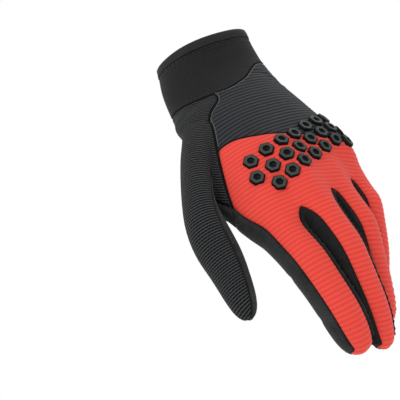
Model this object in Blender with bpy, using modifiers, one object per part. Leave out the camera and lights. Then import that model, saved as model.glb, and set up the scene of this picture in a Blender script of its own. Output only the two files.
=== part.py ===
"""Left motorcycle glove, worn shape: stretch cuff, ribbed back, mesh thumb, suede palm, knuckle pads.

Metres, +Z up. The origin is the middle of the cuff's opening, the cuff stands on the Z axis,
the fingers point down, the back of the hand faces -Y and the thumb lies on the -X side.
"""
import bpy
import bmesh
from math import cos, radians, sin
from mathutils import Vector
from mathutils.bvhtree import BVHTree

# Named sizes
PALM_LENGTH = 0.116        # cuff opening to the middle finger's knuckle
PALM_BREADTH = 0.080       # across the knuckle row
PALM_DEPTH = 0.036         # back of the hand to the palm
FINGER_LENGTH = 0.106      # middle finger, knuckle to tip
CUFF_THICK = 0.0022
BACK_THICK = 0.0016
MESH_THICK = 0.0013
PALM_THICK = 0.0012
FOURCHETTE_THICK = 0.0010
SEAM_GAP = 0.0003          # between neighbouring panels
BINDING_HEIGHT = 0.0045
BINDING_THICK = 0.0010
PAD_PITCH = 0.0104         # between neighbouring knuckle pads
PAD_WIDTH = 0.0078         # across a pad's flats
PAD_HEIGHT = 0.0018
PAD_HOLE = 0.0034          # across the flats of its recess

# Pose
WRIST_BEND = 35            # degrees, hand bent back from the cuff
WRIST_TURN = 12            # degrees, hand turned to the thumb side
BEND_FROM, BEND_TO = 0.086, 0.397      # stretch of the wrist bend, shares of PALM_LENGTH

# Columns round the palm: name, angle (0 = little finger side, 90 = back, 180 = thumb side),
# lean at the cuff's slanting border, station of that border, station of the border between the
# two back panels (both as shares of PALM_LENGTH)
COLUMNS = [
    ("D0", 153, -43, 0.455, 0.715), ("D1", 133, -30, 0.445, 0.740), ("D2", 116, -19, 0.430, 0.775),
    ("D3", 102, -11, 0.405, 0.810), ("D4", 89, -6, 0.355, 0.845), ("D5", 76, -3, 0.275, 0.890),
    ("D6", 62, 0, 0.216, 0.922), ("D7", 45, 0, 0.198, 0.948), ("D8", 25, 0, 0.190, 0.948),
    ("U", 0, 0, 0.190, 0.897), ("P8", -27, 0, 0.198, 0.845), ("P7", -47, 0, 0.216, 0.819),
    ("P6", -63, 0, 0.233, 0.802), ("P5", -77, 0, 0.250, 0.793), ("P4", -90, 0, 0.259, 0.776),
    ("P3", -103, 0, 0.259, 0.767), ("P2", -117, 0, 0.259, 0.759), ("P1", -133, 0, 0.267, 0.750),
    ("P0", -153, -9, 0.302, 0.733), ("R", 180, -22, 0.405, 0.716)]
NAMES = [c[0] for c in COLUMNS]

# Rows of the palm: border they start from ("cuff" = opening to cuff border, "back" = cuff border
# to the panels' border), share of the way, share of the lean, bulge over the thumb's root
# (share of PALM_BREADTH)
ROWS = [("cuff", 0.00, 0.00, 0.00), ("cuff", 0.36, 0.30, 0.00), ("cuff", 0.72, 0.72, 0.01),
        ("back", 0.00, 1.00, 0.03), ("back", 0.22, 1.00, 0.09), ("back", 0.44, 0.85, 0.16),
        ("back", 0.68, 0.45, 0.17), ("back", 1.00, -0.16, 0.08)]
CUFF_ROW, HOLE_TOP, PANEL_ROW, KNUCKLE_ROW, WEB_ROW = 3, 6, 7, 8, 9
# Near the thumb the rows climb, so that its root is wide: column -> shares at rows 4, 5 and 6
CLIMB = {"D0": (0.15, 0.28, 0.42), "R": (0.13, 0.25, 0.38), "P0": (0.15, 0.28, 0.42),
         "D1": (0.22, 0.44, 0.62), "P1": (0.22, 0.44, 0.62)}
BULGE = {"R": 1.0, "P0": 0.35, "D0": 0.25}

# Sections along the hand: station (share of PALM_LENGTH), half breadth and shift to the little
# finger side (shares of PALM_BREADTH), rise of the back and drop of the palm (shares of PALM_DEPTH)
SECTIONS = [(0.000, 0.381, 0.038, 0.639, 0.597), (0.121, 0.431, 0.006, 0.597, 0.592),
            (0.241, 0.456, -0.015, 0.567, 0.578), (0.362, 0.463, -0.021, 0.536, 0.561),
            (0.483, 0.463, -0.013, 0.514, 0.544), (0.603, 0.469, -0.006, 0.494, 0.531),
            (0.741, 0.485, -0.006, 0.456, 0.519), (0.897, 0.505, -0.004, 0.394, 0.503)]

# Fingers: name, knuckle across (PALM_BREADTH), knuckle station (PALM_LENGTH), knuckle drop
# (PALM_DEPTH), roll and spread in degrees, three bone lengths (FINGER_LENGTH), half width
# (PALM_BREADTH), three bends in degrees, cage row at the knuckle and at the web (FINGER_LENGTH)
FINGERS = [
    ("index", -0.38, 0.98, 0.30, -18, 5, 0.450, 0.255, 0.265, 0.158, 15, 19, 15, 0.01, 0.21),
    ("middle", -0.12, 1.00, -0.10, -6, 8, 0.464, 0.287, 0.271, 0.128, 24, 21, 10, 0.00, 0.21),
    ("ring", 0.15, 0.92, 0.00, 10, 11.5, 0.423, 0.269, 0.255, 0.126, 19, 28, 0, 0.04, 0.19),
    ("little", 0.395, 0.84, 0.18, 20, 10, 0.336, 0.208, 0.232, 0.126, 15, 30, 3, 0.12, 0.20)]
# Rings of a finger: bone, share along it (past the web on the first), width share, thickness share
FINGER_RINGS = [(0, 0.28, 0.98, 0.95), (0, 0.62, 0.95, 0.94), (0, 1.00, 0.97, 0.98), (1, 0.45, 0.91, 0.90),
                (1, 1.00, 0.90, 0.88), (2, 0.42, 0.86, 0.82), (2, 0.80, 0.66, 0.62)]
FINGER_SWELL = 1.15                    # palm side of a finger against its back
FINGER_CORNER = 0.10                   # how much fuller its palm side's corners are
WEB_DEPTH = (0.10, 0.05, 0.06)         # webs reach past the web row (FINGER_LENGTH)
RING_ANGLES = (142, 90, 38, -6, -48, -90, -132, 186)

# Thumb: across and half width (PALM_BREADTH), station (PALM_LENGTH), out of the palm (PALM_DEPTH)
THUMB = [(-0.630, 0.690, -0.120, 0.218), (-0.775, 1.010, -0.500, 0.180),
         (-0.715, 1.210, -0.800, 0.148), (-0.755, 1.440, -1.056, 0.096)]
THUMB_ROLL = 8             # degrees
THUMB_CAP = 0.050          # last ring to the tip (FINGER_LENGTH)
THUMB_WEB = {38: 0.25, -6: 0.55, -48: 0.35}    # pull of the first ring to the palm, by angle

# Knuckle pads: columns across the back, place of the first pad across (PALM_BREADTH) and along
# (PALM_LENGTH), pads in the column; the others follow down the column
PAD_COLUMNS = [(-0.365, 0.915, 2), (-0.243, 0.900, 3), (-0.122, 0.886, 3), (0.008, 0.856, 3),
               (0.137, 0.815, 3), (0.262, 0.778, 3), (0.375, 0.738, 3), (0.440, 0.815, 2)]
PAD_LEAN = 16              # degrees, columns lean to the thumb side


def clean_scene():
    for obj in list(bpy.data.objects):
        bpy.data.objects.remove(obj, do_unlink=True)
    for coll in list(bpy.data.collections):
        bpy.data.collections.remove(coll)


def material(name, colour, rough, metal=0.0):
    mat = bpy.data.materials.new(name)
    mat.use_nodes = True
    bsdf = mat.node_tree.nodes["Principled BSDF"]
    bsdf.inputs["Base Color"].default_value = (*colour, 1)
    bsdf.inputs["Roughness"].default_value = rough
    bsdf.inputs["Metallic"].default_value = metal
    return mat


def blend(x, table, column):
    """Linear value of a table's column at x; the first column is the position."""
    rows = sorted(table)
    if x <= rows[0][0]:
        return rows[0][column]
    for low, high in zip(rows, rows[1:]):
        if x <= high[0]:
            k = (x - low[0]) / (high[0] - low[0])
            return low[column] * (1 - k) + high[column] * k
    return rows[-1][column]


def hand_frame(share):
    """Directions of the hand when the wrist is bent by a share of its full bend."""
    bend, turn = radians(WRIST_BEND) * share, radians(WRIST_TURN) * share
    along = Vector((-sin(turn), -sin(bend) * cos(turn), -cos(bend) * cos(turn)))
    out = Vector((0, -cos(bend), sin(bend)))
    return along, out, out.cross(along)


def hand_axis(station):
    """Centre, direction, back normal and cross direction at a station in metres."""
    start, end = BEND_FROM * PALM_LENGTH, BEND_TO * PALM_LENGTH
    if station <= start:
        return (Vector((0, 0, -station)), *hand_frame(0))
    centre, reach, steps = Vector((0, 0, -start)), min(station, end) - start, 8
    for i in range(steps):
        share = (i + 0.5) / steps * reach / (end - start)
        centre += hand_frame(share)[0] * reach / steps
    along, out, across = hand_frame(reach / (end - start))
    return centre + along * max(0, station - end), along, out, across


def hand_point(across_share, station_share, out_share):
    centre, along, out, across = hand_axis(station_share * PALM_LENGTH)
    return centre + across * across_share * PALM_BREADTH + out * out_share * PALM_DEPTH


def palm_point(angle, station, bulge=0.0):
    """Point of the palm's rounded section at an angle and a station in metres."""
    share = station / PALM_LENGTH
    half, shift, rise, drop = [blend(share, SECTIONS, k) for k in (1, 2, 3, 4)]
    c, s, power = cos(radians(angle)), sin(radians(angle)), 2 / 2.35
    x = abs(c) ** power * (1 if c > 0 else -1)
    y = abs(s) ** power * (1 if s > 0 else -1)
    centre, along, out, across = hand_axis(station)
    return (centre + across * (shift + half * x - bulge) * PALM_BREADTH
            + out * y * (rise if y > 0 else drop) * PALM_DEPTH)


class Finger:
    """One finger's bones, bent at three joints."""

    def __init__(self, row):
        (self.name, x, station, drop, roll, spread, b1, b2, b3, half, f1, f2, f3, self.knuckle, self.web) = row
        centre, along, out, across = hand_axis(station * PALM_LENGTH)
        self.half = half * PALM_BREADTH
        r, s = radians(roll), radians(spread)
        self.out = out * cos(r) + across * sin(r)
        side = across * cos(r) - out * sin(r)
        self.ahead = along * cos(s) + side * sin(s)
        self.side = side * cos(s) - along * sin(s)
        self.bones = [b * FINGER_LENGTH for b in (b1, b2, b3)]
        a1, a2, a3 = f1, f1 + f2, f1 + f2 + f3
        l1, l2, l3 = self.bones
        self.turns = [(0, a1 * 0.5), (l1 * 0.25, a1 * 0.85), (l1 * 0.6, a1), (l1, (a1 + a2) / 2),
                      (l1 + l2 / 2, a2), (l1 + l2, (a2 + a3) / 2), (l1 + l2 + l3, a3)]
        self.joints = [centre + across * x * PALM_BREADTH - out * drop * PALM_DEPTH]
        for length, a in zip(self.bones, (a1, a2, a3)):
            step = self.ahead * cos(radians(a)) - self.out * sin(radians(a))
            self.joints.append(self.joints[-1] + step * length)

    def point(self, t, angle, wide=1.0, thick=1.0):
        """Point of the finger's section t metres past the knuckle."""
        a = radians(blend(t, self.turns, 1))
        back = self.out * cos(a) + self.ahead * sin(a)
        spot, left = self.joints[0], t
        for i, length in enumerate(self.bones):
            use = min(left, length) if i < 2 else left
            spot = spot + (self.joints[i + 1] - self.joints[i]) / length * use
            left -= use
            if left <= 0:
                break
        c, s = cos(radians(angle)), sin(radians(angle))
        if s < 0:
            thick *= FINGER_SWELL
            wide *= 1 - FINGER_CORNER * 2 * s * abs(c)
        return spot + (self.side * c * wide + back * s * thick) * self.half


def panel_of(part, i, j):
    """Which panel a cage face belongs to: part, band along it, segment round it."""
    if part == "palm":
        if i < CUFF_ROW:
            return "cuff"
        if j >= 18:
            return "side_mesh" if i < KNUCKLE_ROW else "palm"
        if j <= 8:
            return "back_upper" if i < PANEL_ROW else "back_lower"
        return "palm"
    if part == "thumb":
        if i == "cap":
            return "side_mesh" if j < 2 else "thumb_palm"
        return "side_mesh" if j in (0, 1, 2, 7) or (i == 0 and j == 3) else "thumb_palm"
    if i == "cap":
        return "back_lower" if j < 2 else "palm"
    if j in (0, 1) or (part == "little" and j == 2):
        return "back_lower"
    if j in (4, 5) or (part == "index" and j in (6, 7)) or (part == "little" and j == 3):
        return "palm"
    gap = ["index", "middle", "ring", "little"].index(part) + (0 if j in (6, 7) else 1)
    return "fourchette_%d" % gap


EASE_STEPS = 2             # rounds of evening out the walls' inward directions
# Panels and their walls; a panel's place here is its material number on the cage
PANELS = {"cuff": CUFF_THICK, "back_upper": BACK_THICK, "back_lower": BACK_THICK, "side_mesh": MESH_THICK,
          "palm": PALM_THICK, "thumb_palm": PALM_THICK, "fourchette_1": FOURCHETTE_THICK,
          "fourchette_2": FOURCHETTE_THICK, "fourchette_3": FOURCHETTE_THICK}


def hand_cage():
    """Coarse cage of the whole glove: palm, four fingers and thumb in one sheet open at the cuff."""
    points, faces, panels = [], [], []
    order = list(PANELS)

    def add(p):
        points.append(p)
        return len(points) - 1

    def face(corners, *place):
        faces.append(corners)
        panels.append(order.index(panel_of(*place)))

    grid = []
    for r, (kind, share, lean, bulge) in enumerate(ROWS):
        row = []
        for name, angle, tilt, cuff_at, panel_at in COLUMNS:
            if kind == "cuff":
                rim = (BINDING_THICK + SEAM_GAP) / PALM_LENGTH
                station = rim + (cuff_at - rim) * share
            else:
                k = CLIMB[name][r - 4] if name in CLIMB and 4 <= r <= 6 else share
                station = cuff_at + (panel_at - cuff_at) * k
            row.append(add(palm_point(angle + tilt * lean, station * PALM_LENGTH, bulge * BULGE.get(name, 0))))
        grid.append(row)

    fingers = [Finger(row) for row in FINGERS]
    webs = [None]
    for r in (KNUCKLE_ROW, WEB_ROW):
        row, at_web = [None] * len(NAMES), r == WEB_ROW
        for n, f in enumerate(fingers):
            t = (f.web if at_web else f.knuckle) * FINGER_LENGTH
            rise, drop = (1.02, 1.12) if at_web else (1.30 if n < 3 else 1.12, 1.35)
            row[2 * n + 1] = add(f.point(t, 90, 1, rise))
            row[NAMES.index("P%d" % (2 * n + 1))] = add(f.point(t, -90, 1, drop))
            if n == 0:
                step = 0.03 * FINGER_LENGTH
                row[0] = add(f.point(t - step, 142, 1, 0.95) if at_web else f.point(t + 2.2 * step, 152, 1.65, 0.60))
                row[NAMES.index("R")] = add(f.point(t, 186) if at_web else f.point(t + 4.5 * step, 200, 1.25, 1))
                row[NAMES.index("P0")] = add(f.point(t, -132, 1, 1.1) if at_web else f.point(t + 3 * step, -135, 1.2, 1.3))
            if n == 3:
                row[8] = add(f.point(t, 38, 1, 0.95 if at_web else 1.1))
                row[NAMES.index("U")] = add(f.point(t, -6, 1.02, 1))
                row[NAMES.index("P8")] = add(f.point(t, -48, 1, 1.1))
            if n < 3:
                g = fingers[n + 1]
                u = (g.web if at_web else g.knuckle) * FINGER_LENGTH
                ahead = WEB_DEPTH[n] * FINGER_LENGTH if at_web else 0

                def between(angle, thick, more=0.0):
                    return (f.point(t + more, angle, 1, thick) + g.point(u + more, 180 - angle, 1, thick)) / 2

                row[2 * n + 2] = add(between(36, 0.98) if at_web else between(42, 1.18))
                row[NAMES.index("P%d" % (2 * n + 2))] = add(between(-50, 1.1 if at_web else 1.3, ahead * 1.2))
                if at_web:
                    webs.append(add(between(-6, 1, ahead)))
        grid.append(row)
    webs.append(None)

    columns = len(NAMES)
    for r in range(WEB_ROW):
        for j in range(columns):
            k = (j + 1) % columns
            if j >= columns - 2 and HOLE_TOP <= r < KNUCKLE_ROW:
                continue
            face((grid[r][k], grid[r][j], grid[r + 1][j], grid[r + 1][k]), "palm", r, j)

    def tube(name, base, rings, tip):
        last = base
        for b, ring in enumerate(rings):
            ring = [add(p) for p in ring]
            for j in range(8):
                k = (j + 1) % 8
                face((last[k], last[j], ring[j], ring[k]), name, b, j)
            last = ring
        end = add(tip)
        for j, (a, b, c) in enumerate(((7, 0, 1), (1, 2, 3), (3, 4, 5), (5, 6, 7))):
            face((end, last[c], last[b], last[a]), name, "cap", j)

    web = grid[WEB_ROW]

    def palm_side(k):
        return web[NAMES.index("P%d" % k)]

    for n, f in enumerate(fingers):
        base = [web[2 * n], web[2 * n + 1], web[2 * n + 2], webs[n + 1] if n < 3 else web[NAMES.index("U")],
                palm_side(2 * n + 2), palm_side(2 * n + 1), palm_side(2 * n),
                webs[n] if n > 0 else web[NAMES.index("R")]]
        rings = []
        for bone, share, wide, thick in FINGER_RINGS:
            start = sum(f.bones[:bone]) if bone else f.web * FINGER_LENGTH
            t = start + share * (sum(f.bones[:bone + 1]) - start)
            rings.append([f.point(t, a, wide, thick) for a in RING_ANGLES])
        tube(f.name, base, rings, f.joints[3])

    def spot(r, name):
        return grid[r][NAMES.index(name)]

    mid = HOLE_TOP + 1
    base = [spot(HOLE_TOP, "P0"), spot(HOLE_TOP, "R"), spot(HOLE_TOP, "D0"), spot(mid, "D0"),
            spot(KNUCKLE_ROW, "D0"), spot(KNUCKLE_ROW, "R"), spot(KNUCKLE_ROW, "P0"), spot(mid, "P0")]
    centres = [hand_point(x, s, o) for x, s, o, w in THUMB]
    along, out, across = hand_frame(1)
    facing = -across * cos(radians(THUMB_ROLL)) + out * sin(radians(THUMB_ROLL))
    rings = []
    for n, centre in enumerate(centres):
        before = centres[n - 1] if n else (points[base[1]] + points[base[5]]) / 2
        ahead = (centre - before).normalized()
        if n + 1 < len(centres):
            ahead = (ahead + (centres[n + 1] - centre).normalized()).normalized()
        back = (facing - ahead * facing.dot(ahead)).normalized()
        side = back.cross(ahead)
        half = THUMB[n][3] * PALM_BREADTH
        rings.append([centre + (side * cos(radians(a)) + back * sin(radians(a)) * 0.93) * half for a in RING_ANGLES])
    for k, a in enumerate(RING_ANGLES):
        if a in THUMB_WEB:
            rings[0][k] = rings[0][k].lerp(points[base[k]] + along * 0.05 * PALM_LENGTH, THUMB_WEB[a])
    tube("thumb", base, rings, centres[-1] + (centres[-1] - centres[-2]).normalized() * THUMB_CAP * FINGER_LENGTH)
    return points, faces, panels


def smooth_sheet(levels):
    """The cage with a Subdivision Surface modifier, evaluated into a mesh that keeps the panels."""
    points, faces, panels = hand_cage()
    mesh = bpy.data.meshes.new("glove_form")
    mesh.from_pydata([tuple(p) for p in points], [], faces)
    for name in PANELS:
        mesh.materials.append(bpy.data.materials.new("form_" + name))
    for poly, index in zip(mesh.polygons, panels):
        poly.material_index = index
    cage = bpy.data.objects.new("glove_form", mesh)
    bpy.context.scene.collection.objects.link(cage)
    sub = cage.modifiers.new("smooth", "SUBSURF")
    sub.levels = sub.render_levels = levels
    bpy.context.view_layer.update()
    fine = bpy.data.meshes.new_from_object(cage.evaluated_get(bpy.context.evaluated_depsgraph_get()))
    bpy.data.objects.remove(cage, do_unlink=True)
    bpy.data.meshes.remove(mesh)
    for name in PANELS:
        bpy.data.materials.remove(bpy.data.materials["form_" + name])
    return fine


def inward_ways(sheet):
    """Direction into the glove at every vertex of the sheet, eased over its neighbours so that the
    walls don't cross in the narrow webs."""
    ways = [-v.normal for v in sheet.vertices]
    for step in range(EASE_STEPS):
        total = [way.copy() for way in ways]
        for edge in sheet.edges:
            a, b = edge.vertices
            total[a] += ways[b]
            total[b] += ways[a]
        ways = [t.normalized() for t in total]
    return ways


def panel_shell(sheet, ways, name, thick):
    """A panel as a closed wall: the sheet's faces outside, the same faces moved inward inside,
    its border drawn back by half the seam gap."""
    index = list(PANELS).index(name)
    polys = [p for p in sheet.polygons if p.material_index == index]
    used = sorted({v for p in polys for v in p.vertices})
    count = {}
    for p in polys:
        for a, b in zip(p.vertices, list(p.vertices)[1:] + [p.vertices[0]]):
            count.setdefault(frozenset((a, b)), []).append((a, b, p))
    rim = [uses[0] for uses in count.values() if len(uses) == 1]
    draw = {v: Vector() for v in used}
    for a, b, p in rim:
        if name == "cuff" and min(sheet.vertices[a].co.z, sheet.vertices[b].co.z) > -0.002:
            continue
        edge = sheet.vertices[b].co - sheet.vertices[a].co
        inward = p.normal.cross(edge).normalized()
        draw[a] += inward
        draw[b] += inward
    bm = bmesh.new()
    outer, inner = {}, {}
    for v in used:
        co = sheet.vertices[v].co
        pull = Vector()
        if draw[v].length > 1e-6:
            pull = draw[v] * (SEAM_GAP / max(draw[v].length_squared, 0.6))
        outer[v] = bm.verts.new(co + pull)
        inner[v] = bm.verts.new(co + pull + ways[v] * thick)
    for p in polys:
        bm.faces.new([outer[v] for v in p.vertices])
        bm.faces.new([inner[v] for v in reversed(p.vertices)])
    for a, b, p in rim:
        bm.faces.new((outer[b], outer[a], inner[a], inner[b]))
    mesh = bpy.data.meshes.new(name)
    bm.to_mesh(mesh)
    bm.free()
    return mesh


def cuff_binding(sheet):
    """Folded tape over the cuff's edge: a channel section carried round the opening."""
    edge_use = {}
    for p in sheet.polygons:
        for key in p.edge_keys:
            edge_use[key] = edge_use.get(key, 0) + 1
    links = {}
    for (a, b), n in edge_use.items():
        if n == 1:
            links.setdefault(a, []).append(b)
            links.setdefault(b, []).append(a)
    loop = [max(links, key=lambda v: sheet.vertices[v].co.x)]
    while len(loop) < len(links):
        step = [v for v in links[loop[-1]] if v not in loop]
        loop.append(step[0])
    room, wall, t, deep = SEAM_GAP, CUFF_THICK, BINDING_THICK, BINDING_HEIGHT
    # channel section: out from the cuff's outer face, up from its edge
    section = [(room + t, -deep), (room + t, room + t), (-wall - room - t, room + t), (-wall - room - t, -deep),
               (-wall - room, -deep), (-wall - room, room), (room, room), (room, -deep)]
    bm = bmesh.new()
    rings = []
    for v in loop:
        co = sheet.vertices[v].co
        out = Vector((sheet.vertices[v].normal.x, sheet.vertices[v].normal.y, 0)).normalized()
        drift = sheet.vertices[v].normal
        down = Vector((0, 0, 1)) - drift * drift.z
        down = down.normalized()
        rings.append([bm.verts.new(co + out * x + (down if z < 0 else Vector((0, 0, 1))) * z) for x, z in section])
    for a, b in zip(rings, rings[1:] + rings[:1]):
        for k in range(8):
            bm.faces.new((a[k], a[(k + 1) % 8], b[(k + 1) % 8], b[k]))
    bmesh.ops.recalc_face_normals(bm, faces=bm.faces)
    mesh = bpy.data.meshes.new("cuff_binding")
    bm.to_mesh(mesh)
    bm.free()
    return mesh


def pad_spots(surface):
    """Point, normal and column direction of every knuckle pad on the back of the glove."""
    centre, along, out, across = hand_axis(PALM_LENGTH)
    lean = radians(PAD_LEAN)
    down = along * cos(lean) - across * sin(lean)
    spots = []
    for x, station, count in PAD_COLUMNS:
        spot = centre + across * x * PALM_BREADTH + along * (station - 1) * PALM_LENGTH
        for n in range(count):
            hit, normal = surface.find_nearest(spot)[:2] if n else surface.ray_cast(spot + out * PALM_BREADTH, -out)[:2]
            near = [surface.ray_cast(hit + normal * 0.01 + (down * cos(a) + across * sin(a)) * PAD_WIDTH * 0.4,
                                     -normal)[1] for a in (0, 1.05, 2.09, 3.14, 4.19, 5.24)]
            normal = (normal + sum([v for v in near if v], Vector())).normalized()
            step = (down - normal * down.dot(normal)).normalized()
            spots.append((hit, normal, step))
            spot = hit + step * PAD_PITCH
    return spots


def knuckle_pad(name, surface, hit, normal, step):
    """Six-sided pad with a recess in its top, its underside laid on the back's curve."""
    bm = bmesh.new()
    corner = PAD_WIDTH / 2 / cos(radians(30))
    bmesh.ops.create_cone(bm, cap_ends=True, segments=6, radius1=corner, radius2=corner * 0.90, depth=PAD_HEIGHT)
    top = max(bm.faces, key=lambda f: f.calc_center_median().z)
    bmesh.ops.inset_individual(bm, faces=[top], thickness=(PAD_WIDTH * 0.90 - PAD_HOLE) / 2)
    bmesh.ops.inset_individual(bm, faces=[top], thickness=PAD_HOLE * 0.08, depth=-PAD_HEIGHT * 0.5)
    under = min(bm.faces, key=lambda f: f.calc_center_median().z)
    low = list(under.verts)
    low += bmesh.ops.poke(bm, faces=[under])["verts"]
    # columns run along a pad's flat sides
    side = step.cross(normal)
    for v in bm.verts:
        x, y, z = v.co
        v.co = hit + side * x + step * y + normal * (z + PAD_HEIGHT / 2 + SEAM_GAP)
    for v in low:
        spot = surface.ray_cast(v.co + normal * 0.01, -normal)[0]
        if spot:
            v.co = spot + normal * SEAM_GAP * 1.6
    mesh = bpy.data.meshes.new(name)
    bm.to_mesh(mesh)
    bm.free()
    return mesh


def place(name, mesh, mat, coll):
    obj = bpy.data.objects.new(name, mesh)
    mesh.materials.clear()
    mesh.materials.append(mat)
    coll.objects.link(obj)
    return obj


def main():
    clean_scene()
    coll = bpy.data.collections.new("motorcycle_glove")
    bpy.context.scene.collection.children.link(coll)
    looks = {"cuff": material("neoprene", (0.020, 0.020, 0.021), 0.75),
             "back_upper": material("slate_rib", (0.045, 0.048, 0.053), 0.70),
             "back_lower": material("red_rib", (0.80, 0.045, 0.028), 0.60),
             "side_mesh": material("black_mesh", (0.026, 0.026, 0.028), 0.80),
             "palm": material("suede", (0.028, 0.028, 0.029), 0.90),
             "thumb_palm": material("thumb_suede", (0.028, 0.028, 0.029), 0.90),
             "fourchette": material("black_stretch", (0.015, 0.015, 0.016), 0.80),
             "binding": material("binding_tape", (0.022, 0.022, 0.023), 0.65),
             "pad": material("pad_rubber", (0.030, 0.033, 0.035), 0.55)}
    sheet = smooth_sheet(1)
    ways = inward_ways(sheet)
    for name, thick in PANELS.items():
        key = "fourchette" if name.startswith("fourchette") else name
        place(name, panel_shell(sheet, ways, name, thick), looks[key], coll)
    place("cuff_binding", cuff_binding(sheet), looks["binding"], coll)
    surface = BVHTree.FromPolygons([v.co for v in sheet.vertices], [tuple(p.vertices) for p in sheet.polygons])
    for n, spot in enumerate(pad_spots(surface)):
        name = "knuckle_pad_%02d" % (n + 1)
        place(name, knuckle_pad(name, surface, *spot), looks["pad"], coll)
    bpy.data.meshes.remove(sheet)


main()
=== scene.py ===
"""The motorcycle glove dressed for its picture: ribbed back, mesh thumb, suede palm, knuckle pads,
stitching, a plain floor, soft light and the photograph's camera.

The shape functions are those of the part's source. Metres, +Z up out of the cuff.
"""

from math import atan2, cos, exp, pi, radians, sin

import bmesh
import bpy
import numpy as np
from mathutils import Matrix, Vector, noise
from mathutils.bvhtree import BVHTree
from mathutils.kdtree import KDTree


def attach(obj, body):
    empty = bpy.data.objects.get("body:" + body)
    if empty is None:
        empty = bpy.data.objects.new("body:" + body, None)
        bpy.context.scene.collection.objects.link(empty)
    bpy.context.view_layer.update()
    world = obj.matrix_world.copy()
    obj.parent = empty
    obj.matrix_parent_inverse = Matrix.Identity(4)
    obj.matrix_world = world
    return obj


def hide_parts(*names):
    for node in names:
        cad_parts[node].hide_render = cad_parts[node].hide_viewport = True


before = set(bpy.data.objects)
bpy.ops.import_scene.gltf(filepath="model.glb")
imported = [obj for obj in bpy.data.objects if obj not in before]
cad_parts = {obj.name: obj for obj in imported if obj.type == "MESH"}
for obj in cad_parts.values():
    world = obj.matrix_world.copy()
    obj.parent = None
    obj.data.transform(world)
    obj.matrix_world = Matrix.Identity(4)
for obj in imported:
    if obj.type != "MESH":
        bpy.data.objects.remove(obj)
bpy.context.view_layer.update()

# Named sizes
PALM_LENGTH = 0.116        # cuff opening to the middle finger's knuckle
PALM_BREADTH = 0.080       # across the knuckle row
PALM_DEPTH = 0.036         # back of the hand to the palm
FINGER_LENGTH = 0.106      # middle finger, knuckle to tip
CUFF_THICK = 0.0022
BACK_THICK = 0.0016
MESH_THICK = 0.0013
PALM_THICK = 0.0012
FOURCHETTE_THICK = 0.0010
SEAM_GAP = 0.0003          # between neighbouring panels
BINDING_HEIGHT = 0.0045
BINDING_THICK = 0.0010
PAD_PITCH = 0.0104         # between neighbouring knuckle pads
PAD_WIDTH = 0.0078         # across a pad's flats
PAD_HEIGHT = 0.0018

# Pose
WRIST_BEND = 35            # degrees, hand bent back from the cuff
WRIST_TURN = 12            # degrees, hand turned to the thumb side
BEND_FROM, BEND_TO = 0.086, 0.397      # stretch of the wrist bend, shares of PALM_LENGTH

# Columns round the palm: name, angle (0 = little finger side, 90 = back, 180 = thumb side),
# lean at the cuff's slanting border, station of that border, station of the border between the
# two back panels (both as shares of PALM_LENGTH)
COLUMNS = [
    ("D0", 153, -43, 0.455, 0.715), ("D1", 133, -30, 0.445, 0.740), ("D2", 116, -19, 0.430, 0.775),
    ("D3", 102, -11, 0.405, 0.810), ("D4", 89, -6, 0.355, 0.845), ("D5", 76, -3, 0.275, 0.890),
    ("D6", 62, 0, 0.216, 0.922), ("D7", 45, 0, 0.198, 0.948), ("D8", 25, 0, 0.190, 0.948),
    ("U", 0, 0, 0.190, 0.897), ("P8", -27, 0, 0.198, 0.845), ("P7", -47, 0, 0.216, 0.819),
    ("P6", -63, 0, 0.233, 0.802), ("P5", -77, 0, 0.250, 0.793), ("P4", -90, 0, 0.259, 0.776),
    ("P3", -103, 0, 0.259, 0.767), ("P2", -117, 0, 0.259, 0.759), ("P1", -133, 0, 0.267, 0.750),
    ("P0", -153, -9, 0.302, 0.733), ("R", 180, -22, 0.405, 0.716)]
NAMES = [c[0] for c in COLUMNS]

# Rows of the palm: border they start from ("cuff" = opening to cuff border, "back" = cuff border
# to the panels' border), share of the way, share of the lean, bulge over the thumb's root
# (share of PALM_BREADTH)
ROWS = [("cuff", 0.00, 0.00, 0.00), ("cuff", 0.36, 0.30, 0.00), ("cuff", 0.72, 0.72, 0.01),
        ("back", 0.00, 1.00, 0.03), ("back", 0.22, 1.00, 0.09), ("back", 0.44, 0.85, 0.16),
        ("back", 0.68, 0.45, 0.17), ("back", 1.00, -0.16, 0.08)]
CUFF_ROW, HOLE_TOP, PANEL_ROW, KNUCKLE_ROW, WEB_ROW = 3, 6, 7, 8, 9
# Near the thumb the rows climb, so that its root is wide: column -> shares at rows 4, 5 and 6
CLIMB = {"D0": (0.15, 0.28, 0.42), "R": (0.13, 0.25, 0.38), "P0": (0.15, 0.28, 0.42),
         "D1": (0.22, 0.44, 0.62), "P1": (0.22, 0.44, 0.62)}
BULGE = {"R": 1.0, "P0": 0.35, "D0": 0.25}

# Sections along the hand: station (share of PALM_LENGTH), half breadth and shift to the little
# finger side (shares of PALM_BREADTH), rise of the back and drop of the palm (shares of PALM_DEPTH)
SECTIONS = [(0.000, 0.381, 0.038, 0.639, 0.597), (0.121, 0.431, 0.006, 0.597, 0.592),
            (0.241, 0.456, -0.015, 0.567, 0.578), (0.362, 0.463, -0.021, 0.536, 0.561),
            (0.483, 0.463, -0.013, 0.514, 0.544), (0.603, 0.469, -0.006, 0.494, 0.531),
            (0.741, 0.485, -0.006, 0.456, 0.519), (0.897, 0.505, -0.004, 0.394, 0.503)]

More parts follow.
